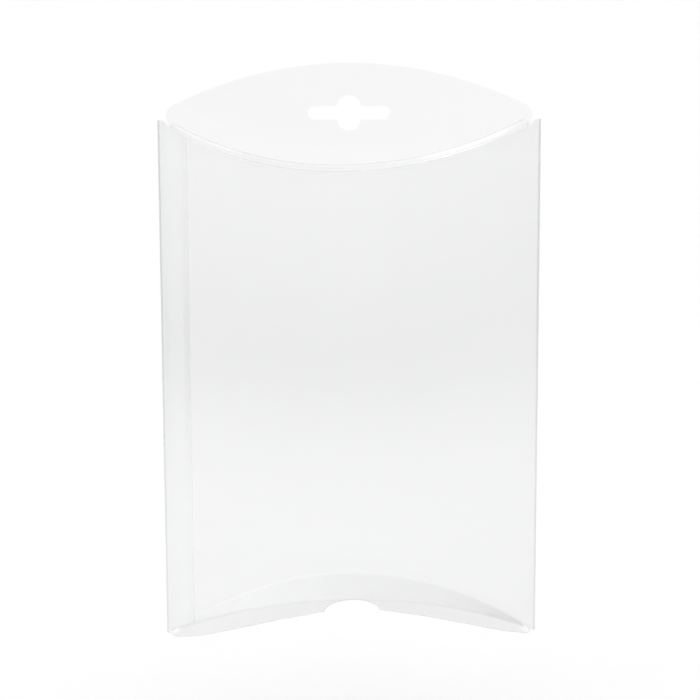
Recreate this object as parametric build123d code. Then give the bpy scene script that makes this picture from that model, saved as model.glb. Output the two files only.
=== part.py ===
from build123d import *
from math import asin, cos, pi, radians, sin, tan
import os

# Clear pillow box with a hang tab, folded from one sheet. Millimetres, +Z up, front towards -Y.
# The origin is the middle of the hang slot, where the box hangs on a peg.

# Sheet and sleeve
panel_width = 142.7  # between the two side folds, before they are rounded
panel_height = 192.4  # from the bottom corners to the top corners
bulge = 17.75  # how far each panel bows out at mid width
sheet = 0.3  # thickness of the plastic
fold_radius = 1.2  # outside of the two side folds
seam_width = 12.3  # glue flap inside the front panel, from the unrounded fold
seam_inset = 1.2  # the glue flap stops this far short of the end creases

# Curved end creases
corner_land = 3.1  # straight edge at each corner before a crease begins
crease_gap = 0.15  # slit along a hinged crease

# End flaps
flap_margin = 3.4  # how much longer a flap is than the box is deep
flap_end_gap = 1.45  # from the tips of the hang tab and the outer bottom flap to the corner land
tuck_end_gap = 3.0  # the same for the top flap and the inner bottom flap, which are tucked in
tip_flat = 0.15  # straight part left of the hang tab's short upright ends
tuck_corner = 2.2  # corners of the free edge of the top flap and the inner bottom flap
tuck_gap = 0.3  # between a flap's free edge and the panel behind it
inner_rise = 1.6  # degrees, the inner bottom flap lifts towards the back
outer_droop = 4.4  # degrees, the outer bottom flap hangs towards the front
outer_step = 0.5  # the outer bottom flap's crease lies this much below the inner one's
turn_up_middle = 1.4  # the top flap's free edge turns up against the tab
turn_up_end = 2.4  # the same, near the corners

# Thumb notch in the outer bottom flap
notch_radius = 10.2
notch_corner = 0.9

# Hang slot
slot_width = 31.0
slot_arm = 5.0  # height of the two arms
slot_lobe_height = 13.2
slot_lobe_width = 9.0
slot_corner = 0.8  # where the arms meet the middle lobe
slot_rise = 2.6  # middle of the slot above the top corners

# The crease dips by as much as the panel bows, so an end flap folds down level
crease_dip = bulge
half_width = panel_width / 2
half_crease = half_width - corner_land
half_flap = half_crease - flap_end_gap
half_tuck = half_crease - tuck_end_gap
hinge_clear = sheet + crease_gap
reach = panel_width


def bow_radius(half_chord, sagitta):
    return (half_chord**2 + sagitta**2) / (2 * sagitta)


def disc(radius, centre):
    return Pos(0, centre) * Circle(radius)


def block(half, low, high):
    return Pos(0, (low + high) / 2) * Rectangle(2 * half, high - low)


def through_depth(face, tilt=0):
    # a drawing in X and Z pushed along Y, or along a line that climbs to the back by tilt
    plane = Plane((0, 0, 0), x_dir=(1, 0, 0), z_dir=(0, -cos(radians(tilt)), -sin(radians(tilt))))
    return extrude(plane * face, reach, both=True)


def through_height(face):
    return extrude(Pos(0, 0, -reach) * face, panel_height + 2 * reach)


# In plan each panel is part of a circle, and the two circles cross at the side folds
panel_radius = bow_radius(half_width, bulge)
panel_centre = panel_radius - bulge


def front_disc(inset):
    return disc(panel_radius - inset, panel_centre)


def back_disc(inset):
    return disc(panel_radius - inset, -panel_centre)


# Seen from the front, a crease is part of a circle that lies above or below the box
crease_radius = bow_radius(half_crease, crease_dip)
crease_centre = crease_radius - crease_dip

# The tips of the hang tab and the outer bottom flap are rounded alike
tip_slope = asin(half_flap / crease_radius)
tip_side = flap_margin + 2 * (crease_radius * cos(tip_slope) - crease_centre)
flap_tip_radius = (tip_side - tip_flat) / 2 * tan((pi / 2 + tip_slope) / 2)


def top_disc(clear):
    return disc(crease_radius + clear, panel_height + crease_centre)


def bottom_disc(clear, drop=0):
    return disc(crease_radius + clear, -crease_centre - drop)


def flap_strip(dip, level, up):
    # end view of a flap: a thin arch whose outer face dips in from the corners by dip
    radius = bow_radius(half_crease, dip)
    centre = level + up * (radius - dip)
    ring = disc(radius + sheet, centre) - disc(radius, centre)
    return ring & block(half_crease, level - reach / 2, level + reach / 2)


lens = front_disc(0) & back_disc(0)
lens = fillet(lens.vertices(), fold_radius)
hollow = offset(lens, -sheet)
tube = through_height(lens - hollow)

wall = block(half_width, 0, panel_height)
front_sheet = wall - top_disc(hinge_clear) - bottom_disc(sheet / 2)

# The hang tab is a flap left standing: its free edge is the crease turned over and moved out
tab = top_disc(sheet) & disc(crease_radius, panel_height + flap_margin - crease_centre)
tab = tab & block(half_flap, 0, 2 * panel_height)
tab = fillet(tab.vertices(), flap_tip_radius)
back_sheet = (wall - top_disc(0) - bottom_disc(hinge_clear, outer_step)) + tab

slot_level = panel_height + slot_rise
slot = SlotOverall(slot_width, slot_arm) + SlotOverall(slot_lobe_height, slot_lobe_width, rotation=90)
slot_notches = [v for v in slot.vertices() if abs(v.X) < slot_lobe_width]
slot = fillet(slot_notches, slot_corner)
back_sheet = back_sheet - Pos(0, slot_level) * slot

front_half = Pos(0, -reach / 2) * Rectangle(2 * reach, reach)
back_half = Pos(0, reach / 2) * Rectangle(2 * reach, reach)
front_panel = tube & through_height(front_half) & through_depth(front_sheet)
back_panel = tube & through_height(back_half) & through_depth(back_sheet)

# Glue flap, a second layer inside the front panel at the left fold
seam_plan = (front_disc(sheet) - front_disc(2 * sheet)) & hollow
seam_plan = seam_plan & Pos(-half_width, 0) * Rectangle(2 * seam_width, 2 * bulge)
seam_sheet = wall - top_disc(seam_inset) - bottom_disc(seam_inset)
glue_flap = through_height(seam_plan) & through_depth(seam_sheet)

# Inner bottom flap, from the front panel's crease, lifting towards the back
tuck_plan = front_disc(0) & back_disc(sheet + tuck_gap) & block(half_tuck, -reach, reach)
tuck_plan = fillet([v for v in tuck_plan.vertices() if v.Y > 0], tuck_corner)
inner_dip = (crease_dip + bulge * tan(radians(inner_rise))) * cos(radians(inner_rise))
inner_flap = through_height(tuck_plan) & through_depth(flap_strip(inner_dip, 0, -1), inner_rise)

sleeve = front_panel + back_panel + glue_flap + inner_flap

# Top flap, from the front panel's crease, its free edge turned up against the hang tab
top_flap = through_height(tuck_plan) & through_depth(flap_strip(crease_dip, panel_height, 1))
turn_plan = (tuck_plan - back_disc(2 * sheet + tuck_gap)) & block(half_tuck, 0, reach)
turn_dip = crease_dip + turn_up_end - turn_up_middle
turn_radius = bow_radius(half_crease, turn_dip)
turn_edge = disc(turn_radius, panel_height + turn_up_end + turn_radius - turn_dip)
turn_sheet = top_disc(sheet) - turn_edge
turn_sheet = turn_sheet & block(half_crease, 0, panel_height + turn_up_end)
top_flap = top_flap + (through_height(turn_plan) & through_depth(turn_sheet))

# Outer bottom flap, from the back panel's crease, with the thumb notch in its free edge
free_edge = -bulge - flap_margin
outer_plan = back_disc(0) & disc(panel_radius, panel_centre - flap_margin)
outer_plan = outer_plan & block(half_flap, -reach, reach)
outer_plan = fillet(outer_plan.vertices(), flap_tip_radius)
outer_plan = outer_plan - disc(notch_radius, free_edge)
notch_tips = [v for v in outer_plan.vertices() if abs(v.X) < notch_radius + notch_corner]
outer_plan = fillet(notch_tips, notch_corner)
outer_dip = (crease_dip - bulge * tan(radians(outer_droop))) * cos(radians(outer_droop))
outer_strip = flap_strip(outer_dip, -outer_step, -1)
bottom_flap = through_height(outer_plan) & through_depth(outer_strip, outer_droop)

# Everything moves so that the slot's middle, halfway through the tab, is the origin
to_slot = Pos(0, sheet / 2 - bulge, -slot_level)

os.makedirs("parts", exist_ok=True)
for name, shape in (("sleeve", sleeve), ("top_flap", top_flap), ("bottom_flap", bottom_flap)):
    export_step(to_slot * shape, f"parts/{name}.step")
    print(name, len(shape.solids()), "solid", round(shape.volume, 1), "mm3", shape.bounding_box())
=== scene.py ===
import bpy
from math import atan, cos, pi, radians, sin, sqrt, tan
from mathutils import Matrix, Vector


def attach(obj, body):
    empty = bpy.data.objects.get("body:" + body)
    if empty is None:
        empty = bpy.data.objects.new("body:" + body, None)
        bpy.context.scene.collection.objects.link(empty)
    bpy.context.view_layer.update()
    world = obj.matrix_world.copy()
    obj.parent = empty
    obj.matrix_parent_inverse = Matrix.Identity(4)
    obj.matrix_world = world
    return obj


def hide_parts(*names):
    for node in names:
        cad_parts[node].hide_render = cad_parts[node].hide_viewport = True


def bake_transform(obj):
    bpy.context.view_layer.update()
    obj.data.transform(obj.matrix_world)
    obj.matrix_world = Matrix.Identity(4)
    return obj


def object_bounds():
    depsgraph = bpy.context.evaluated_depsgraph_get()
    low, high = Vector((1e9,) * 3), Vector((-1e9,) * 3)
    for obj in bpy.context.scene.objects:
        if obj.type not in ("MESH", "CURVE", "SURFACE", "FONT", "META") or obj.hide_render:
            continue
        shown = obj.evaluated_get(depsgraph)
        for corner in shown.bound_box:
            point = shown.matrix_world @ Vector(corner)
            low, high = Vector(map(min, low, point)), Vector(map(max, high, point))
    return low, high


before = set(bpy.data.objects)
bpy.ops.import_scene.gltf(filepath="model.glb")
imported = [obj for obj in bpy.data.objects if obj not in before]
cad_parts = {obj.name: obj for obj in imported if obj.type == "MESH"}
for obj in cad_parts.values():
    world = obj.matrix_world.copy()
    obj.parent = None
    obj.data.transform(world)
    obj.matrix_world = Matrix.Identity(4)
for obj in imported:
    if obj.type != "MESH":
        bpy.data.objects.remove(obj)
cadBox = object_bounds()
scene = bpy.context.scene
mm = 0.001


# Sums written as Python: each operator on a wire adds a Math node
class Wire:
    def __init__(self, graph, socket):
        self.graph = graph
        self.socket = socket

    def math(self, operation, *others):
        sockets = {place + 1: value for place, value in enumerate(others)}
        return self.graph.add("ShaderNodeMath", {"operation": operation}, {0: self, **sockets})

    def under(self, operation, other):  # the same with the wire as the second value
        return self.graph.add("ShaderNodeMath", {"operation": operation}, {0: other, 1: self})

    def out(self, name):  # another output of the wire's node
        return Wire(self.graph, self.socket.node.outputs[name])

    def __add__(self, other):
        return self.math("ADD", other)

    def __sub__(self, other):
        return self.math("SUBTRACT", other)

    def __mul__(self, other):
        return self.math("MULTIPLY", other)

    def __truediv__(self, other):
        return self.math("DIVIDE", other)

    def __pow__(self, other):
        return self.math("POWER", other)

    def __radd__(self, other):
        return self.under("ADD", other)

    def __rsub__(self, other):
        return self.under("SUBTRACT", other)

    def __rmul__(self, other):
        return self.under("MULTIPLY", other)

    def __rtruediv__(self, other):
        return self.under("DIVIDE", other)

    def least(self, other):
        return self.math("MINIMUM", other)

    def most(self, other):
        return self.math("MAXIMUM", other)

    def unit(self):  # held between 0 and 1
        return self.most(0.0).least(1.0)

    def over(self, other):
        return self.math("GREATER_THAN", other)

    def root(self):
        return self.math("SQRT")

    def size(self):
        return self.math("ABSOLUTE")

    def sine(self):
        return self.math("SINE")

    def cosine(self):
        return self.math("COSINE")


class Graph:
    def __init__(self, tree):
        self.tree = tree
        tree.nodes.clear()

    def add(self, kind, settings=None, sockets=None, out=0):
        node = self.tree.nodes.new(kind)
        for name, value in (settings or {}).items():
            if name == "stops":
                self.setStops(node.color_ramp, value)
            else:
                setattr(node, name, value)
        for key, value in (sockets or {}).items():
            if isinstance(value, Wire):
                self.tree.links.new(value.socket, node.inputs[key])
            else:
                node.inputs[key].default_value = value
        return Wire(self, node.outputs[out]) if len(node.outputs) else None

    def setStops(self, ramp, stops):  # pairs of a place and its grey
        while len(ramp.elements) < len(stops):
            ramp.elements.new(1.0)
        for element, (place, grey) in zip(ramp.elements, stops):
            element.position = place
            element.color = (grey, grey, grey, 1)

    def mixColours(self, share, first, second):
        sockets = {"Factor": share, 6: first, 7: second}
        return self.add("ShaderNodeMix", {"data_type": "RGBA"}, sockets, out=2)

    def mixShaders(self, share, first, second):
        return self.add("ShaderNodeMixShader", {}, {0: share, 1: first, 2: second})

    def named(self, attribute):
        return self.add("GeometryNodeInputNamedAttribute", {"data_type": "FLOAT"}, {"Name": attribute})


def startMaterial(name):
    material = bpy.data.materials.new(name)
    material.use_nodes = True
    g = Graph(material.node_tree)
    return material, g, g.add("ShaderNodeTexCoord").out("Object")


# Clear sheet: light goes straight through or is mirrored, more of it at a slant
clearLook = {
    "faceOn": 0.049,  # share mirrored face on, for a plastic of index 1.57
    "tint": (0.990, 0.9905, 0.991),  # one face of the sheet
    "roughness": 0.035,
    "waveScale": 26.0,  # slow waves from rolling the sheet
    "waveDepth": 0.002,
    "waviness": 0.05,
    "rubScale": (900.0, 900.0, 24.0),  # a few fine rubs along the panel
    "rubFrom": 0.62,
    "rubContrast": 6.0,
    "rubRoughness": 0.10,
    "foldShadeFrom": 0.0690,  # painted shade: a darker tint along the side folds, so a little less light gets through them
    "foldShadeOver": 0.0003,
    "foldShadeTint": (0.955, 0.960, 0.965),
    "shadeFadeFrom": -0.13,  # the painted fold shade is fainter low down
    "shadeFadeOver": 0.06,
    "shadeFadeLeast": 0.45,
}
gluedLook = {
    **clearLook,
    "tint": (0.997, 0.998, 0.998),
    "glued": 0.1,  # little is mirrored where it is glued down and has no air behind it
    "looseFrom": -0.0615,  # past here the glue stops and the edge of the flap stands off
    "looseOver": 0.0006,
    "foldTo": -0.0658,  # and from here to the fold it bends away from the panel
    "foldOver": 0.0027,
}


def clearSheet(name, look):
    material, g, place = startMaterial(name)
    across = g.add("ShaderNodeSeparateXYZ", {}, {0: place})
    waves = g.add("ShaderNodeTexNoise", {}, {"Vector": place, "Scale": look["waveScale"], "Detail": 1.0})
    bump = g.add(
        "ShaderNodeBump", {},
        {"Height": waves, "Strength": look["waviness"], "Distance": look["waveDepth"]},
    )
    rubs = g.add("ShaderNodeMapping", {"vector_type": "POINT"}, {"Vector": place, "Scale": look["rubScale"]})
    rubs = g.add("ShaderNodeTexNoise", {}, {"Vector": rubs, "Scale": 1.0, "Detail": 2.0})
    rubs = ((rubs - look["rubFrom"]) * look["rubContrast"]).unit()
    slant = g.add("ShaderNodeLayerWeight", {}, {"Blend": 0.5}).out("Facing")
    mirrored = look["faceOn"] + (1 - look["faceOn"]) * slant**5
    if "looseFrom" in look:
        loose = ((across - look["looseFrom"]) / look["looseOver"]).unit()
        nearFold = ((look["foldTo"] - across) / look["foldOver"]).unit()
        mirrored = mirrored * (look["glued"] + (1 - look["glued"]) * loose.most(nearFold))
    # painted shade along the side folds, fainter towards the bottom of the box
    onFoldShade = ((across.size() - look["foldShadeFrom"]) / look["foldShadeOver"]).unit()
    foldShadeStrength = ((across.out("Z") - look["shadeFadeFrom"]) / look["shadeFadeOver"]).most(look["shadeFadeLeast"]).least(1.0)
    plain = g.add("ShaderNodeBsdfTransparent", {}, {"Color": (*look["tint"], 1)})
    foldShaded = g.add("ShaderNodeBsdfTransparent", {}, {"Color": (*look["foldShadeTint"], 1)})
    through = g.mixShaders(onFoldShade * foldShadeStrength, plain, foldShaded)
    gloss = g.add(
        "ShaderNodeBsdfAnisotropic", {},
        {
            "Color": (1, 1, 1, 1),
            "Roughness": look["roughness"] + rubs * look["rubRoughness"],
            "Normal": bump,
        },
    )
    g.add("ShaderNodeOutputMaterial", {}, {"Surface": g.mixShaders(mirrored, through, gloss)})
    return material


# Cut edge: painted shade, a grey part-opaque finish on the raw edges of the sheet that draws the dark line
# there, so they are greyer than the faces
edgeShadeLook = {
    "colour": (0.60, 0.63, 0.64),
    "paleColour": (0.80, 0.82, 0.83),
    "tint": (0.97, 0.98, 0.98),
    "opacity": 0.55,
    "nickScale": 700.0,  # nicks from the cutting knife
    "nickSpread": 0.3,
    "roughness": 0.35,
}
gluedEdgeShadeLook = {**edgeShadeLook, "opacity": 0.3}


def shadedCutEdge(name, look):
    material, g, place = startMaterial(name)
    nicks = g.add("ShaderNodeTexNoise", {}, {"Vector": place, "Scale": look["nickScale"], "Detail": 2.0})
    colour = g.mixColours(nicks, (*look["colour"], 1), (*look["paleColour"], 1))
    solid = g.add(
        "ShaderNodeBsdfPrincipled", {}, {"Base Color": colour, "Roughness": look["roughness"]}
    )
    through = g.add("ShaderNodeBsdfTransparent", {}, {"Color": (*look["tint"], 1)})
    opacity = look["opacity"] + (nicks - 0.5) * look["nickSpread"]
    g.add("ShaderNodeOutputMaterial", {}, {"Surface": g.mixShaders(opacity, through, solid)})
    return material


clear = clearSheet("clearSheet", clearLook)
glued = clearSheet("gluedSheet", gluedLook)
edgeShade = shadedCutEdge("shadedCutEdge", edgeShadeLook)
gluedEdgeShade = shadedCutEdge("gluedEdgeShade", gluedEdgeShadeLook)
print("materials ready")

# Sizes of the box in millimetres, as in the solid model or a hair smaller
box = {
    "panelWidth": 142.69,
    "panelHeight": 192.4,
    "bulge": 17.75,
    "sheet": 0.3,
    "foldRadius": 1.2,
    "cornerLand": 3.1,
    "flapEndGap": 1.45,
    "tuckEndGap": 3.0,
    "tuckCorner": 2.2,
    "flapMargin": 3.34,
    "tipRadius": 4.07,
    "slotRise": 2.6,  # middle of the hang slot above the top corners
    "bendRadius": 0.5,  # inside of the creased sheet
    "bendLead": 0.5,  # straight strip before a bend, part of the flap's piece
    "bendShare": 0.5,  # near the corners a bend takes at most this share of the panel's depth,
    "stripShare": 0.9,  # and it starts within this share of the crease's dip
    "turnRadius": 0.8,  # inside of an edge that turns up
    "turnShare": 0.6,  # the most of the panel's depth that the turn takes
    "leastDepth": 0.2,  # the panel counts as at least this deep for both
    "outerStep": 0.5,  # from the inner bottom flap's crease down to the outer one's
    "frontLowDip": 16.85,  # the front panel's bottom crease is drawn in a little less than the rest
    # how far the front panel's top crease sags, by share of the half crease
    "topSag": [
        (-1.0, 0.0), (-0.85, 1.0), (-0.65, 1.25), (-0.4, 1.15), (0.0, 0.45), (0.35, 0.0), (1.0, 0.0),
    ],
}
halfWidth = box["panelWidth"] / 2
height = box["panelHeight"]
bulge = box["bulge"]
sheet = box["sheet"]
halfCrease = halfWidth - box["cornerLand"]
halfFlap = halfCrease - box["flapEndGap"]
halfTuck = halfCrease - box["tuckEndGap"]
slotLevel = height + box["slotRise"]


def arcRadius(halfChord, rise):
    return (halfChord**2 + rise**2) / (2 * rise)


panelRadius = arcRadius(halfWidth, bulge)
creaseRadius = arcRadius(halfCrease, bulge)
panelCentre = panelRadius - bulge
creaseCentre = creaseRadius - bulge
foldCentre = sqrt((panelRadius - box["foldRadius"]) ** 2 - panelCentre**2)
foldEnd = foldCentre + box["foldRadius"] - sheet  # half width of the inner face
toSlot = (0, sheet / 2 - bulge, -slotLevel)  # the hang slot's middle is the origin


def bow(x, inset=0.0):  # how far a panel lies from the middle of the box
    return sqrt(max((panelRadius - inset) ** 2 - x * x, 0)) - panelCentre


def innerDepth(x):
    return max(bow(x, sheet), box["leastDepth"])


def creaseDip(x, dip=bulge):  # how far a crease lies inside the corners
    radius = arcRadius(halfCrease, dip)
    return max(sqrt(radius**2 - min(abs(x), halfCrease) ** 2) - radius + dip, 0)


def frontLow(x):
    return creaseDip(x, box["frontLowDip"])


def creaseTop(x):
    return height - creaseDip(x)


def smoothAlong(table, place):
    # smooth curve through a short table of places and values
    last = len(table) - 1
    i = next((n for n in range(last) if place <= table[n + 1][0]), last - 1)
    (x0, y0), (x1, y1) = table[i], table[i + 1]
    before, after = table[max(i - 1, 0)], table[min(i + 2, last)]
    slope0 = (y1 - before[1]) / (x1 - before[0])
    slope1 = (after[1] - y0) / (after[0] - x0)
    t, wide = (place - x0) / (x1 - x0), x1 - x0
    return (
        y0 * (2 * t**3 - 3 * t**2 + 1) + y1 * (3 * t**2 - 2 * t**3)
        + wide * (slope0 * (t**3 - 2 * t**2 + t) + slope1 * (t**3 - t**2))
    )


def topSag(x):
    return smoothAlong(box["topSag"], min(max(x / halfCrease, -1), 1))


def frontTop(x):
    return creaseTop(x) - topSag(x)


def outerStep(x):  # the step at this column, which goes to nothing at the tips
    return box["outerStep"] * min(creaseDip(x), 1)


def tippedArc(x, radius, centre, side, tip, tipRadius):
    # arc of a free edge whose end is rounded into an upright side at tip
    inner = tip - tipRadius
    x = abs(x)
    if x <= inner * radius / (radius - tipRadius):
        return centre + side * sqrt(radius**2 - x * x)
    middle = centre + side * sqrt((radius - tipRadius) ** 2 - inner**2)
    return middle + side * sqrt(max(tipRadius**2 - (x - inner) ** 2, 0))


def spread(first, last, count):
    return [first + (last - first) * step / count for step in range(count + 1)]


def turned(first, last, count):
    # columns that crowd towards last, for an edge that turns steeply there
    return [first + (last - first) * sin(pi / 2 * step / count) for step in range(count + 1)]


def mirroredColumns(values):
    half = sorted({round(value, 5) for value in values})
    return [-value for value in reversed(half) if value > 0] + half


# Rules that a strip of the blank asks of each of its columns
def always(x):
    return True


def never(x):
    return False


def nought(x):
    return 0.0


def noTurn(x):
    return 1000.0  # further along than any flap reaches


class Blank:
    # flat sheet made of strips, each a grid of columns and rows
    def __init__(self):
        self.points, self.faces = [], []
        self.values = {"cut": [], "turnAt": [], "lean": [], "sag": []}

    def strip(
        self, columns, rowsAt, side=0, flip=False,
        cutLow=never, cutHigh=never, cutEnds=never,
        turnAt=noTurn, leanAt=nought, sagAt=nought,
    ):
        first = len(self.points)
        for place, x in enumerate(columns):
            rows = rowsAt(x)
            endCut = place in (0, len(columns) - 1) and cutEnds(x)
            for row, z in enumerate(rows):
                lowCut = row == 0 and cutLow(x)
                highCut = row == len(rows) - 1 and cutHigh(x)
                self.points.append((x * mm, side * mm, z * mm))
                self.values["cut"].append(float(lowCut or highCut or endCut))
                self.values["turnAt"].append(turnAt(x) * mm)
                self.values["lean"].append(leanAt(x))
                self.values["sag"].append(sagAt(x) * mm)
        count = len(rows)
        for i in range(len(columns) - 1):
            for j in range(count - 1):
                a = first + i * count + j
                quad = (a, a + count, a + count + 1, a + 1)
                self.faces.append(tuple(reversed(quad)) if flip else quad)

    def object(self, name):
        mesh = bpy.data.meshes.new(name)
        mesh.from_pydata(self.points, [], self.faces)
        for attribute, values in self.values.items():
            mesh.attributes.new(attribute, "FLOAT", "POINT").data.foreach_set("value", values)
        made = bpy.data.objects.new(name, mesh)
        scene.collection.objects.link(made)
        return made


def startTree(name, inputs):
    tree = bpy.data.node_groups.new(name, "GeometryNodeTree")
    tree.interface.new_socket("Geometry", in_out="INPUT", socket_type="NodeSocketGeometry")
    for label, kind in inputs.items():
        tree.interface.new_socket(label, in_out="INPUT", socket_type="NodeSocket" + kind)
    tree.interface.new_socket("Geometry", in_out="OUTPUT", socket_type="NodeSocketGeometry")
    g = Graph(tree)
    given = g.add("NodeGroupInput")
    return tree, g, {label: given.out(label) for label in ("Geometry", *inputs)}


weld = 0.004 * mm  # points nearer to each other than this are one


def thickenAndFinish(g, sheetFace, given):
    # the inner face gets its outer face and rim, then its place and its two finishes
    merged = g.add("GeometryNodeMergeByDistance", {}, {"Geometry": sheetFace, "Distance": weld})
    raised = g.add(
        "GeometryNodeExtrudeMesh", {"mode": "FACES"},
        {"Mesh": merged, "Offset Scale": given["Sheet"], "Individual": False},
    )
    rim = raised.out("Side")
    lower = g.add("GeometryNodeFlipFaces", {}, {"Mesh": merged})
    raisedRim = g.add(
        "GeometryNodeStoreNamedAttribute", {"data_type": "FLOAT", "domain": "FACE"},
        {"Geometry": raised, "Name": "rim", "Value": rim},
    )
    both = g.add("GeometryNodeJoinGeometry")
    for part in (lower, raisedRim):
        g.tree.links.new(part.socket, both.socket.node.inputs[0])
    closed = g.add("GeometryNodeMergeByDistance", {}, {"Geometry": both, "Distance": weld})
    placed = g.add(
        "GeometryNodeTransform", {}, {"Geometry": closed, "Translation": given["Place"]}
    )
    plain = g.add("GeometryNodeRealizeInstances", {}, {"Geometry": placed})
    faces = g.add("GeometryNodeSetMaterial", {}, {"Geometry": plain, "Material": given["Face Finish"]})
    # these rim faces get the painted shade of the cut edges
    isCut = (g.named("rim") * g.named("cut")).over(0.9)  # rim faces whose points are all cut
    edges = g.add(
        "GeometryNodeSetMaterial", {},
        {"Geometry": faces, "Selection": isCut, "Material": given["Edge Shade Finish"]},
    )
    g.add("NodeGroupOutput", {}, {0: edges})


finishInputs = {
    "Sheet": "Float", "Place": "Vector", "Face Finish": "Material", "Edge Shade Finish": "Material",
}


def bowTree():
    # flat front and back sheets swell into the lens-shaped sleeve, closed at rounded side folds
    inputs = {
        "Panel Radius": "Float", "Bow": "Float", "Fold Centre": "Float", "Fold Radius": "Float",
        "Inset": "Float",
    }
    tree, g, given = startTree("bowedSleeve", {**inputs, **finishInputs})
    spot = g.add("ShaderNodeSeparateXYZ", {}, {0: g.add("GeometryNodeInputPosition")})
    x, side, z = spot, spot.out("Y").math("SIGN"), spot.out("Z")
    radius = given["Panel Radius"] - given["Inset"]
    panel = (radius * radius - x * x).most(0.0).root() - (given["Panel Radius"] - given["Bow"])
    foldRadius = given["Fold Radius"] - given["Inset"]
    beyond = x.size() - given["Fold Centre"]
    fold = (foldRadius * foldRadius - beyond * beyond).most(0.0).root()
    tangent = given["Fold Centre"] * radius / (given["Panel Radius"] - given["Fold Radius"])
    depth = panel + (fold - panel) * x.size().over(tangent)
    moved = g.add("ShaderNodeCombineXYZ", {}, {"X": x, "Y": side * depth, "Z": z})
    swollen = g.add("GeometryNodeSetPosition", {}, {"Geometry": given["Geometry"], "Position": moved})
    thickenAndFinish(g, swollen, given)
    return tree


def foldTree():
    # a flat strip across a curved crease folds over it, and its free edge may turn up again
    inputs = {
        "Panel Radius": "Float", "Bow": "Float", "Crease Radius": "Float", "Crease Dip": "Float",
        "Crease Level": "Float", "Side": "Float", "Up": "Float", "Fold Angle": "Float",
        "Bend Radius": "Float", "Turn Radius": "Float", "Turn Angle": "Float",
    }
    tree, g, given = startTree("foldedFlap", {**inputs, **finishInputs})
    spot = g.add("ShaderNodeSeparateXYZ", {}, {0: g.add("GeometryNodeInputPosition")})
    x, v = spot, spot.out("Z")
    # the panel's inner face and the crease in it, at this column
    sheetIn = given["Panel Radius"] - given["Sheet"]
    depth = (sheetIn * sheetIn - x * x).most(0.0).root() - (given["Panel Radius"] - given["Bow"])
    creaseIn = given["Crease Radius"] + given["Sheet"]
    rise = (creaseIn * creaseIn - x * x).root() - (given["Crease Radius"] - given["Crease Dip"])
    crease = given["Crease Level"] - given["Up"] * (rise + g.named("sag"))
    # the bend at the crease, then the turn of the free edge
    room = depth.most(box["leastDepth"] * mm)
    angle = given["Fold Angle"] + g.named("lean")
    bend = given["Bend Radius"].least(room * box["bendShare"])
    half = bend * angle / 2
    swung = ((v + half) / bend).most(0.0).least(angle)
    turnAt, turnAngle = g.named("turnAt"), given["Turn Angle"]
    turnRadius = given["Turn Radius"].least(room * box["turnShare"])
    past = v - turnAt
    curl = (past / turnRadius).most(0.0).least(turnAngle)
    rest = (past - turnRadius * turnAngle).most(0.0)
    level = (v.least(turnAt) - half).most(0.0) + turnRadius * curl.sine() + rest * turnAngle.cosine()
    lift = turnRadius * (1 - curl.cosine()) + rest * turnAngle.sine()
    along = (v + half).least(0.0) - bend * (angle / 2).math("TANGENT") + bend * swung.sine()
    along = along + level * angle.cosine() + lift * angle.sine()
    inwards = bend * (1 - swung.cosine()) + level * angle.sine() - lift * angle.cosine()
    moved = g.add(
        "ShaderNodeCombineXYZ", {},
        {"X": x, "Y": given["Side"] * (depth - inwards), "Z": crease + given["Up"] * along},
    )
    folded = g.add("GeometryNodeSetPosition", {}, {"Geometry": given["Geometry"], "Position": moved})
    thickenAndFinish(g, folded, given)
    return tree


sharpFrom = radians(40)


def shapeBy(piece, tree, values):
    piece.data.materials.append(values["Face Finish"])
    piece.data.materials.append(values["Edge Shade Finish"])
    modifier = piece.modifiers.new("shape", "NODES")
    modifier.node_group = tree
    for item in tree.interface.items_tree:
        if item.in_out == "INPUT" and item.name in values:
            modifier[item.identifier] = values[item.name]
    evaluated = piece.evaluated_get(bpy.context.evaluated_depsgraph_get())
    mesh = bpy.data.meshes.new_from_object(evaluated)
    piece.modifiers.clear()
    piece.data = mesh
    mesh.shade_smooth()
    mesh.set_sharp_from_angle(angle=sharpFrom)
    print(piece.name, len(mesh.vertices), "points", [m.name for m in mesh.materials])
    return piece


bowed = bowTree()
folded = foldTree()
finish = {
    "Sheet": sheet * mm, "Place": tuple(value * mm for value in toSlot),
    "Face Finish": clear, "Edge Shade Finish": edgeShade,
}
sleeveShape = {
    "Panel Radius": panelRadius * mm, "Bow": bulge * mm, "Fold Centre": foldCentre * mm,
    "Fold Radius": box["foldRadius"] * mm, "Inset": sheet * mm, **finish,
}

# Sleeve with the hang tab
tab = {
    "slotWidth": 31.0,
    "slotArm": 5.0,
    "lobeHeight": 13.2,
    "lobeWidth": 9.0,
    "slotCorner": 0.8,
    "lobeSide": 4.4,  # columns crowd at the lobe's side
    "armFrom": 5.2,
    "levelTo": 20,  # rows follow the slot's level to here, then move to the middle of the tips
    "levelOver": 40,
    "hair": 0.001,
}
slotEnd = tab["slotWidth"] / 2
armEnd = slotEnd - tab["slotArm"] / 2


def slotHalf(x):
    # half the slot's height: round-ended arms, and a taller lobe in the middle
    x = abs(x)
    arm, lobe, corner = tab["slotArm"] / 2, tab["lobeWidth"] / 2, tab["slotCorner"]
    lobeMiddle = tab["lobeHeight"] / 2 - lobe
    cornerRise = arm + corner
    cornerX = sqrt((lobe + corner) ** 2 - (cornerRise - lobeMiddle) ** 2)
    if x <= cornerX * lobe / (lobe + corner):
        return lobeMiddle + sqrt(lobe**2 - x * x)
    if x <= cornerX:
        return cornerRise - sqrt(corner**2 - (x - cornerX) ** 2)
    return sqrt(max(arm**2 - max(x - armEnd, 0) ** 2, 0))


def bendAt(x):  # inside radius of the bend at a crease
    return min(box["bendRadius"], innerDepth(x) * box["bendShare"])


def bendStart(x):  # from the crease to the end of the panel's own strip
    dip = creaseDip(x)
    if dip <= 0:
        return 0.0
    return min(box["bendLead"] + bendAt(x) + sheet, dip * box["stripShare"])


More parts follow.
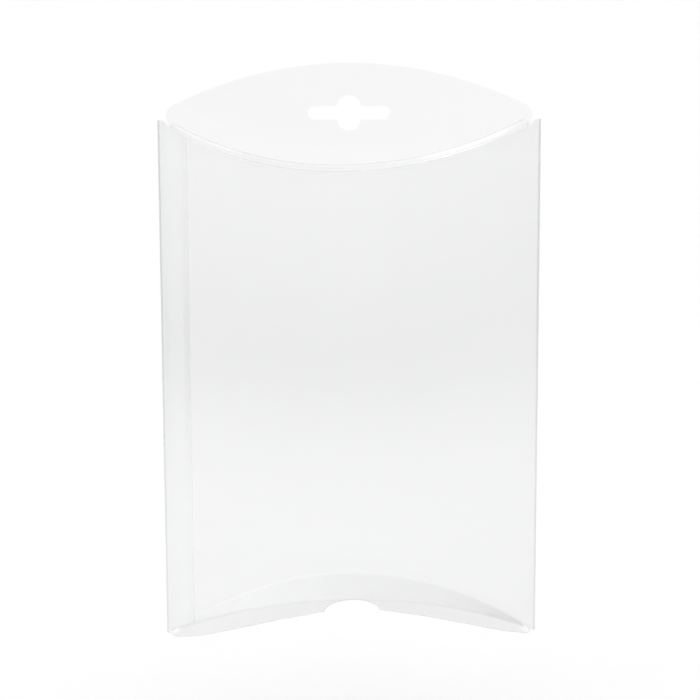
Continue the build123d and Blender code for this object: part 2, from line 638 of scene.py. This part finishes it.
slotColumns = (
    turned(0, tab["lobeSide"], 10) + spread(tab["lobeSide"], tab["armFrom"], 6)
    + spread(tab["armFrom"], armEnd, 6) + turned(armEnd, slotEnd, 8)
)
tipInner = halfFlap - box["tipRadius"]
tipStart = tipInner * creaseRadius / (creaseRadius - box["tipRadius"])
tabColumns = (
    slotColumns + spread(slotEnd, tipInner, 34) + spread(tipInner, tipStart, 2)
    + turned(tipStart, halfFlap, 8)
)
foldTangent = foldCentre * (panelRadius - sheet) / (panelRadius - box["foldRadius"])
sideColumns = [halfCrease] + spread(halfFlap, foldTangent, 5) + turned(foldTangent, foldEnd, 8)
panelColumns = mirroredColumns(tabColumns + sideColumns)
tabOnly = mirroredColumns(tabColumns)
panelSteps = spread(0, 1, 12)
tabSteps = spread(0, 1, 6)


def rowsBetween(low, high, steps):
    return lambda x: [low(x) + (high(x) - low(x)) * step for step in steps]


def onLand(x):
    return abs(x) >= halfCrease


def onTip(x):
    return abs(x) > tipStart


def atSlot(x):
    return abs(x) < slotEnd + tab["hair"]


def backLow(x):
    return 0 if onLand(x) else creaseDip(x) - outerStep(x) + bendStart(x)


def tabLow(x):
    return tippedArc(x, creaseRadius, height + creaseCentre, -1, halfFlap, box["tipRadius"])


def tabTop(x):
    centre = height + box["flapMargin"] - creaseCentre
    return tippedArc(x, creaseRadius, centre, 1, halfFlap, box["tipRadius"])


def middleOf(x):  # the slot's level, moving into the tab's tips at its ends
    low, high = tabLow(x), tabTop(x)
    share = min(max((abs(x) - tab["levelTo"]) / tab["levelOver"], 0), 1)
    return slotLevel + ((low + high) / 2 - slotLevel) * share


sleeve = Blank()
sleeve.strip(
    panelColumns,
    rowsBetween(lambda x: frontLow(x) + bendStart(x), lambda x: frontTop(x) - bendStart(x), panelSteps),
    side=-1, cutLow=onLand, cutHigh=onLand,
)
sleeve.strip(
    panelColumns, rowsBetween(backLow, creaseTop, panelSteps),
    side=1, flip=True, cutLow=onLand, cutHigh=onTip,
)
sleeve.strip(
    tabOnly, rowsBetween(tabLow, lambda x: middleOf(x) - slotHalf(x), tabSteps),
    side=1, flip=True, cutLow=onTip, cutHigh=atSlot, cutEnds=always,
)
sleeve.strip(
    tabOnly, rowsBetween(lambda x: middleOf(x) + slotHalf(x), tabTop, tabSteps),
    side=1, flip=True, cutLow=atSlot, cutHigh=always, cutEnds=always,
)
sleevePiece = shapeBy(sleeve.object("sleeve_sheet"), bowed, sleeveShape)

# Glue flap, bonded inside the front panel at the left fold
glueFlap = {"width": 12.3, "inset": 0.7, "gap": 0.01, "foldInset": 1.1}
glueStart = glueFlap["foldInset"] - foldEnd
glueEnd = glueFlap["width"] - halfWidth


def glueRows(x):
    low, high = frontLow(x) + glueFlap["inset"], frontTop(x) - glueFlap["inset"]
    return [low + (high - low) * step for step in panelSteps]


glue = Blank()
glue.strip(
    spread(glueStart, glueEnd, 10), glueRows,
    side=-1, cutLow=always, cutHigh=always, cutEnds=lambda x: x > glueStart,
)
gluePiece = shapeBy(
    glue.object("glue_flap"), bowed,
    {
        **sleeveShape, "Inset": 2 * sheet * mm, "Sheet": (sheet - glueFlap["gap"]) * mm,
        "Face Finish": glued, "Edge Shade Finish": gluedEdgeShade,
    },
)

# What the three folded flaps share
flapShape = {
    "Panel Radius": panelRadius * mm, "Bow": bulge * mm,
    "Crease Radius": creaseRadius * mm, "Crease Dip": bulge * mm,
    "Bend Radius": box["bendRadius"] * mm, "Turn Radius": box["turnRadius"] * mm, "Turn Angle": 0.0,
    **finish,
}
# least lengths of a flap's parts near its tips, and how far its last column stops short of its end
flapMesh = {"leastLead": 0.02, "leastReach": 0.05, "leastTurn": 0.06, "leastCorner": 0.3, "trim": 0.02}
wideTo = 60  # columns are even to here and closer together towards the tips


def flapRows(x, angle, reach, count, tail=None):
    # distances along the flap: the strip before the bend, the bend, and on to the free edge
    bend = bendAt(x)
    half = bend * angle / 2
    lead = max(bendStart(x) - sheet - bend * tan(angle / 2), flapMesh["leastLead"])
    last = max(reach, half + flapMesh["leastReach"])
    rows = [-half - lead] + spread(-half, half, 8) + spread(half, last, count)[1:]
    return rows + (tail or [])


def reachTo(x, angle, plan):
    # plan distance from the crease, turned into distance along the folded sheet
    bend = bendAt(x)
    return bend * angle / 2 - bend * tan(angle / 2) + plan / sin(angle)


cornerAt = halfTuck - box["tuckCorner"]
tuckColumns = mirroredColumns(
    spread(0, wideTo, 44) + spread(wideTo, cornerAt, 5) + turned(cornerAt, halfTuck - flapMesh["trim"], 9)
)


def roundCorner(x, rows):
    # a tucked flap's free corners are rounded, so its last columns are shorter
    radius, past = box["tuckCorner"], max(abs(x) - cornerAt, 0)
    keep, last = bendAt(x), rows[-1]
    shorter = max(last - radius + sqrt(max(radius**2 - past**2, 0)), keep + flapMesh["leastCorner"])
    return [v if v <= keep else keep + (v - keep) * (shorter - keep) / (last - keep) for v in rows]


# Top flap, folded back in, its free edge turned up against the tab
topFlap = {
    "gap": 0.3,
    "turnLeft": 1.5,  # how far the edge turns up at its left end, in the middle and at its right end
    "turnMiddle": 1.4,
    "turnRight": 2.4,
    "turnAngle": radians(68),
    "leastRest": 0.1,
}


def topTurn(x):
    # turn radius, straight length after the turn, and where the turn begins, for one column
    angle = topFlap["turnAngle"]
    radius = min(box["turnRadius"], innerDepth(x) * box["turnShare"])
    turnEnd = topFlap["turnLeft"] if x < 0 else topFlap["turnRight"]
    edgeRise = turnEnd + (topFlap["turnMiddle"] - turnEnd) * creaseDip(x) / bulge
    rest = max((edgeRise + sheet - radius * (1 - cos(angle))) / sin(angle), topFlap["leastRest"])
    plan = bow(x, sheet) + bow(x, sheet + topFlap["gap"]) - radius * sin(angle) - rest * cos(angle)
    return radius, rest, max(reachTo(x, pi / 2, plan), bendAt(x) + flapMesh["leastTurn"])


def topRows(x):
    radius, rest, start = topTurn(x)
    curl = spread(start, start + radius * topFlap["turnAngle"], 6)[1:]
    tail = curl + [curl[-1] + rest / 2, curl[-1] + rest]
    return roundCorner(x, flapRows(x, pi / 2, start, 14, tail))


top = Blank()
top.strip(tuckColumns, topRows, cutHigh=always, turnAt=lambda x: topTurn(x)[2], sagAt=topSag)
topPiece = shapeBy(
    top.object("top_flap_sheet"), folded,
    {
        **flapShape, "Side": -1.0, "Up": 1.0, "Crease Level": height * mm, "Fold Angle": pi / 2,
        "Turn Angle": topFlap["turnAngle"],
    },
)

# Inner bottom flap, from the front panel, lifting towards the back
innerFlap = {"rise": 1.6, "gap": 0.3}
innerAngle = pi / 2 + radians(innerFlap["rise"])


def innerRows(x):
    plan = bow(x, sheet) + bow(x, sheet + innerFlap["gap"])
    return roundCorner(x, flapRows(x, innerAngle, reachTo(x, innerAngle, plan), 10))


inner = Blank()
inner.strip(tuckColumns, innerRows, flip=True)
innerPiece = shapeBy(
    inner.object("inner_flap_sheet"), folded,
    {
        **flapShape, "Side": -1.0, "Up": -1.0, "Crease Level": 0.0, "Fold Angle": innerAngle,
        "Crease Radius": arcRadius(halfCrease, box["frontLowDip"]) * mm,
        "Crease Dip": box["frontLowDip"] * mm,
    },
)

# Outer bottom flap, from the back panel, hanging a little, with the thumb notch
outerFlap = {
    "notchRadius": 10.2,
    "notchCorner": 0.9,
    "notchTurn": 1.6,  # columns crowd this far inside the notch's side
    "notchTrim": 0.06,
    "notchPast": 1.2,
    "endGap": 0.5,  # from its tips to the ends of the crease
    "trim": 0.05,
    # how far the free edge hangs below the front crease, by share of the half width
    "hang": [
        (0.0, 3.4), (0.16, 3.6), (0.27, 4.3), (0.41, 4.75), (0.55, 5.05), (0.69, 4.8), (0.83, 3.95),
        (0.96, 1.6), (1.0, 0.2),
    ],
    "leastHang": 0.1,
    "leastLength": 2.5,
    "lopsided": 0.14,  # it hangs lower on the left
    "lopsidedOver": 12,
}
outerHalf = halfCrease - outerFlap["endGap"]
outerInner = outerHalf - box["tipRadius"]


def outerPlain(x):  # plan of the free edge without its notch, forwards from the middle of the box
    centre = panelCentre - box["flapMargin"]
    return -tippedArc(x, panelRadius, centre, -1, outerHalf, box["tipRadius"])


def outerEdge(x):
    edgeAt = outerPlain(x)
    notch, corner = outerFlap["notchRadius"], outerFlap["notchCorner"]
    middle = bulge + box["flapMargin"]
    cornerX = sqrt((notch + corner) ** 2 - corner**2)
    x = abs(x)
    if x <= cornerX * notch / (notch + corner):
        return middle - sqrt(notch**2 - x * x)
    if x <= cornerX:
        rounded = middle - corner + sqrt(corner**2 - (x - cornerX) ** 2)
        return min(rounded, edgeAt)
    return edgeAt


def outerLean(x):
    hang = smoothAlong(outerFlap["hang"], min(abs(x) / outerHalf, 1))
    hang = hang * (1 - outerFlap["lopsided"] * x / (abs(x) + outerFlap["lopsidedOver"]))
    hang = min(hang, creaseDip(x))  # its tips hang no lower than the bottom corners
    length = max(bow(x) + outerPlain(x), outerFlap["leastLength"])
    return -atan(max(hang - outerStep(x), outerFlap["leastHang"]) / length)


def outerRows(x):
    plan = bow(x, sheet) + outerEdge(x)
    angle = pi / 2 + outerLean(x)
    return flapRows(x, angle, reachTo(x, angle, plan), 16)


notchSide = outerFlap["notchRadius"]
notchFrom = notchSide - outerFlap["notchTurn"]
notchEnd = notchSide - outerFlap["notchTrim"]
notchPast = notchSide + outerFlap["notchPast"]
outerColumns = (
    spread(0, notchFrom, 10) + turned(notchFrom, notchEnd, 8) + spread(notchEnd, notchPast, 9)
    + spread(notchPast, wideTo, 34) + spread(wideTo, outerInner, 8)
    + turned(outerInner, outerHalf - outerFlap["trim"], 10)
)
outer = Blank()
outer.strip(
    mirroredColumns(outerColumns), outerRows, cutHigh=always, cutEnds=always,
    leanAt=outerLean, sagAt=lambda x: box["outerStep"] - outerStep(x),
)
outerPiece = shapeBy(
    outer.object("bottom_flap_sheet"), folded,
    {
        **flapShape, "Side": 1.0, "Up": -1.0, "Crease Level": -box["outerStep"] * mm,
        "Fold Angle": pi / 2,
    },
)

# The sleeve's pieces go with the sleeve, and the solid model's parts are hidden
for piece in (sleevePiece, gluePiece, innerPiece):
    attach(piece, "sleeve")
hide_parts("sleeve")
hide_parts("top_flap")
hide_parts("bottom_flap")


def fromBox(x, y, z):
    return tuple((value + shift) * mm for value, shift in zip((x, y, z), toSlot))


# Points at the top and bottom creases are worked out here but not used; each flap is baked where it lies
fromBox(0, 0, height - 7.4)
fromBox(0, 5.2, height - 21.77)
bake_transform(topPiece)
fromBox(0, 0, 6.17)
fromBox(0, -5.2, 21.77)
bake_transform(outerPiece)
print("pieces placed")

# Pale floor that sweeps up behind, far enough below the box for the bottom flap to hang open
floor = {
    "drop": 0.045,
    "reach": 4.0,
    "sweepAt": 1.0,
    "sweepRadius": 0.6,
    "rise": 2.5,
    "colour": (0.97, 0.97, 0.97),
    "paleColour": (0.985, 0.985, 0.985),
    "grainScale": 60.0,
}


def paleFloor():
    mesh = bpy.data.meshes.new("floor")
    reach, level, radius = floor["reach"], cadBox[0].z - floor["drop"], floor["sweepRadius"]
    profile = [(-reach, level), (0.0, level)]
    for angle in spread(0, pi / 2, 12):
        profile.append((floor["sweepAt"] + radius * sin(angle), level + radius * (1 - cos(angle))))
    profile.append((floor["sweepAt"] + radius, level + floor["rise"]))
    points = [(x, y, z) for y, z in profile for x in (-reach, reach)]
    faces = [(i, i + 1, i + 3, i + 2) for i in range(0, len(points) - 2, 2)]
    mesh.from_pydata(points, [], faces)
    mesh.shade_smooth()
    material, g, place = startMaterial("paleFloor")
    grain = g.add("ShaderNodeTexNoise", {}, {"Vector": place, "Scale": floor["grainScale"], "Detail": 2.0})
    colour = g.mixColours(grain, (*floor["colour"], 1), (*floor["paleColour"], 1))
    matt = g.add("ShaderNodeBsdfDiffuse", {}, {"Color": colour})
    g.add("ShaderNodeOutputMaterial", {}, {"Surface": matt})
    mesh.materials.append(material)
    made = bpy.data.objects.new("floor", mesh)
    scene.collection.objects.link(made)
    made.visible_glossy = False


paleFloor()

# Studio: white all round for the camera, with a darker room that only the gloss shows
studio = {
    "light": 1.03,
    # grey of the room by height of the direction looked in, from -0.5 to 0.5
    "front": [
        (0.0, 0.28), (0.12, 0.20), (0.16, 0.34), (0.19, 0.60), (0.215, 0.66), (0.246, 0.70),
        (0.273, 0.70), (0.302, 0.58), (0.332, 0.43), (0.345, 0.32), (0.361, 0.24), (0.375, 0.28),
        (0.402, 0.40), (0.432, 0.47), (0.463, 0.55), (0.480, 0.55), (0.495, 0.38), (0.55, 0.38),
        (0.75, 0.7), (1.0, 0.9),
    ],
    "sides": [
        (0.0, 0.30), (0.20, 0.40), (0.28, 0.30), (0.36, 0.03), (0.50, 0.0), (0.56, 0.80),
        (0.70, 1.0), (0.84, 1.0), (0.89, 0.6), (1.0, 0.4),
    ],
    "behind": [
        (0.0, 0.40), (0.40, 0.55), (0.47, 0.80), (0.50, 1.0), (0.76, 1.2), (0.84, 1.16),
        (0.89, 0.6), (1.0, 0.35),
    ],
    "frontOver": 0.45,  # how the sides pass into the front,
    "frontFrom": 0.1,
    "behindOver": 0.04,  # and into the wall behind
    "behindFrom": 0.945,
    "slope": 0.018,  # the tones in front stand higher to the right,
    "sag": 0.035,  # and higher to both sides than in the middle
    "dimmer": 0.35,  # the room is dimmer to the right
    # one soft box each side of the camera
    "softBoxes": [
        {"aim": (0.729, -0.404, 0.552), "glow": 1.75},
        {"aim": (-0.585, -0.529, 0.617), "glow": 1.55},
    ],
    "softEdge": 0.966,
    "softFade": 0.02,
}


def studioWorld():
    world = bpy.data.worlds.new("studio")
    scene.world = world
    world.use_nodes = True
    g = Graph(world.node_tree)
    toward = g.add("ShaderNodeTexCoord")  # generated: the direction looked in
    spot = g.add("ShaderNodeSeparateXYZ", {}, {0: toward})
    x, y, z = spot, spot.out("Y"), spot.out("Z")
    level = z + 0.5
    inFront = level - x * (studio["slope"] + x * studio["sag"])
    tones = {
        name: g.add("ShaderNodeValToRGB", {"stops": studio[name]}, {"Fac": at})
        for name, at in (("front", inFront), ("sides", level), ("behind", level))
    }
    facing = y / (x * x + y * y).most(0.000001).root()  # never divided by nought
    toFront = ((0 - facing) / studio["frontOver"] - studio["frontFrom"]).unit()
    toBack = ((facing - studio["behindFrom"]) / studio["behindOver"]).unit()
    around = g.mixColours(toFront, tones["sides"], tones["front"])
    around = g.mixColours(toBack, around, tones["behind"])
    for soft in studio["softBoxes"]:
        near = x * soft["aim"][0] + y * soft["aim"][1] + z * soft["aim"][2]
        inBox = ((near - studio["softEdge"]) / studio["softFade"]).unit()
        around = g.mixColours(inBox, around, (soft["glow"],) * 3 + (1,))
    path = g.add("ShaderNodeLightPath")
    plain = path.out("Is Camera Ray").most(path.out("Is Transmission Ray"))
    room = path.out("Is Glossy Ray") * (1 - plain)
    colour = g.mixColours(room, (1, 1, 1, 1), around)
    seen = path.out("Is Camera Ray").most(path.out("Is Glossy Ray"))
    strength = (studio["light"] + (1 - studio["light"]) * seen) * (1 - room * x * studio["dimmer"])
    background = g.add("ShaderNodeBackground", {}, {"Color": colour, "Strength": strength})
    g.add("ShaderNodeOutputWorld", {}, {"Surface": background})


studioWorld()

softLamp = {"place": (-0.35, -0.15, 0.9), "aim": (0, -0.02, -0.1), "size": 0.7, "power": 0.4}
lampData = bpy.data.lights.new("softLamp", "AREA")
lampData.size = softLamp["size"]
lampData.energy = softLamp["power"]
lamp = bpy.data.objects.new("softLamp", lampData)
lamp.location = softLamp["place"]
lamp.rotation_mode = "QUATERNION"
lamp.rotation_quaternion = (Vector(softLamp["aim"]) - lamp.location).to_track_quat("-Z", "Y")
scene.collection.objects.link(lamp)

# Camera about level with the top corners, a touch left of the middle, looking slightly down
shot = {
    "place": (-0.00906, -0.6169, -0.0057),
    "tilt": 7.76,
    "yaw": 0.854,
    "roll": 0.21,
    "lens": 83.7,
    "sensor": 36.0,
}
cameraData = bpy.data.cameras.new("camera")
cameraData.lens = shot["lens"]
cameraData.sensor_width = shot["sensor"]
camera = bpy.data.objects.new("camera", cameraData)
camera.matrix_world = (
    Matrix.Translation(shot["place"])
    @ Matrix.Rotation(radians(-shot["yaw"]), 4, "Z")
    @ Matrix.Rotation(radians(90 - shot["tilt"]), 4, "X")
    @ Matrix.Rotation(radians(-shot["roll"]), 4, "Z")
)
scene.collection.objects.link(camera)
scene.camera = camera
scene.view_settings.view_transform = "Standard"
scene.cycles.transparent_max_bounces = 32  # the sheet lies in many layers
print("stage ready")
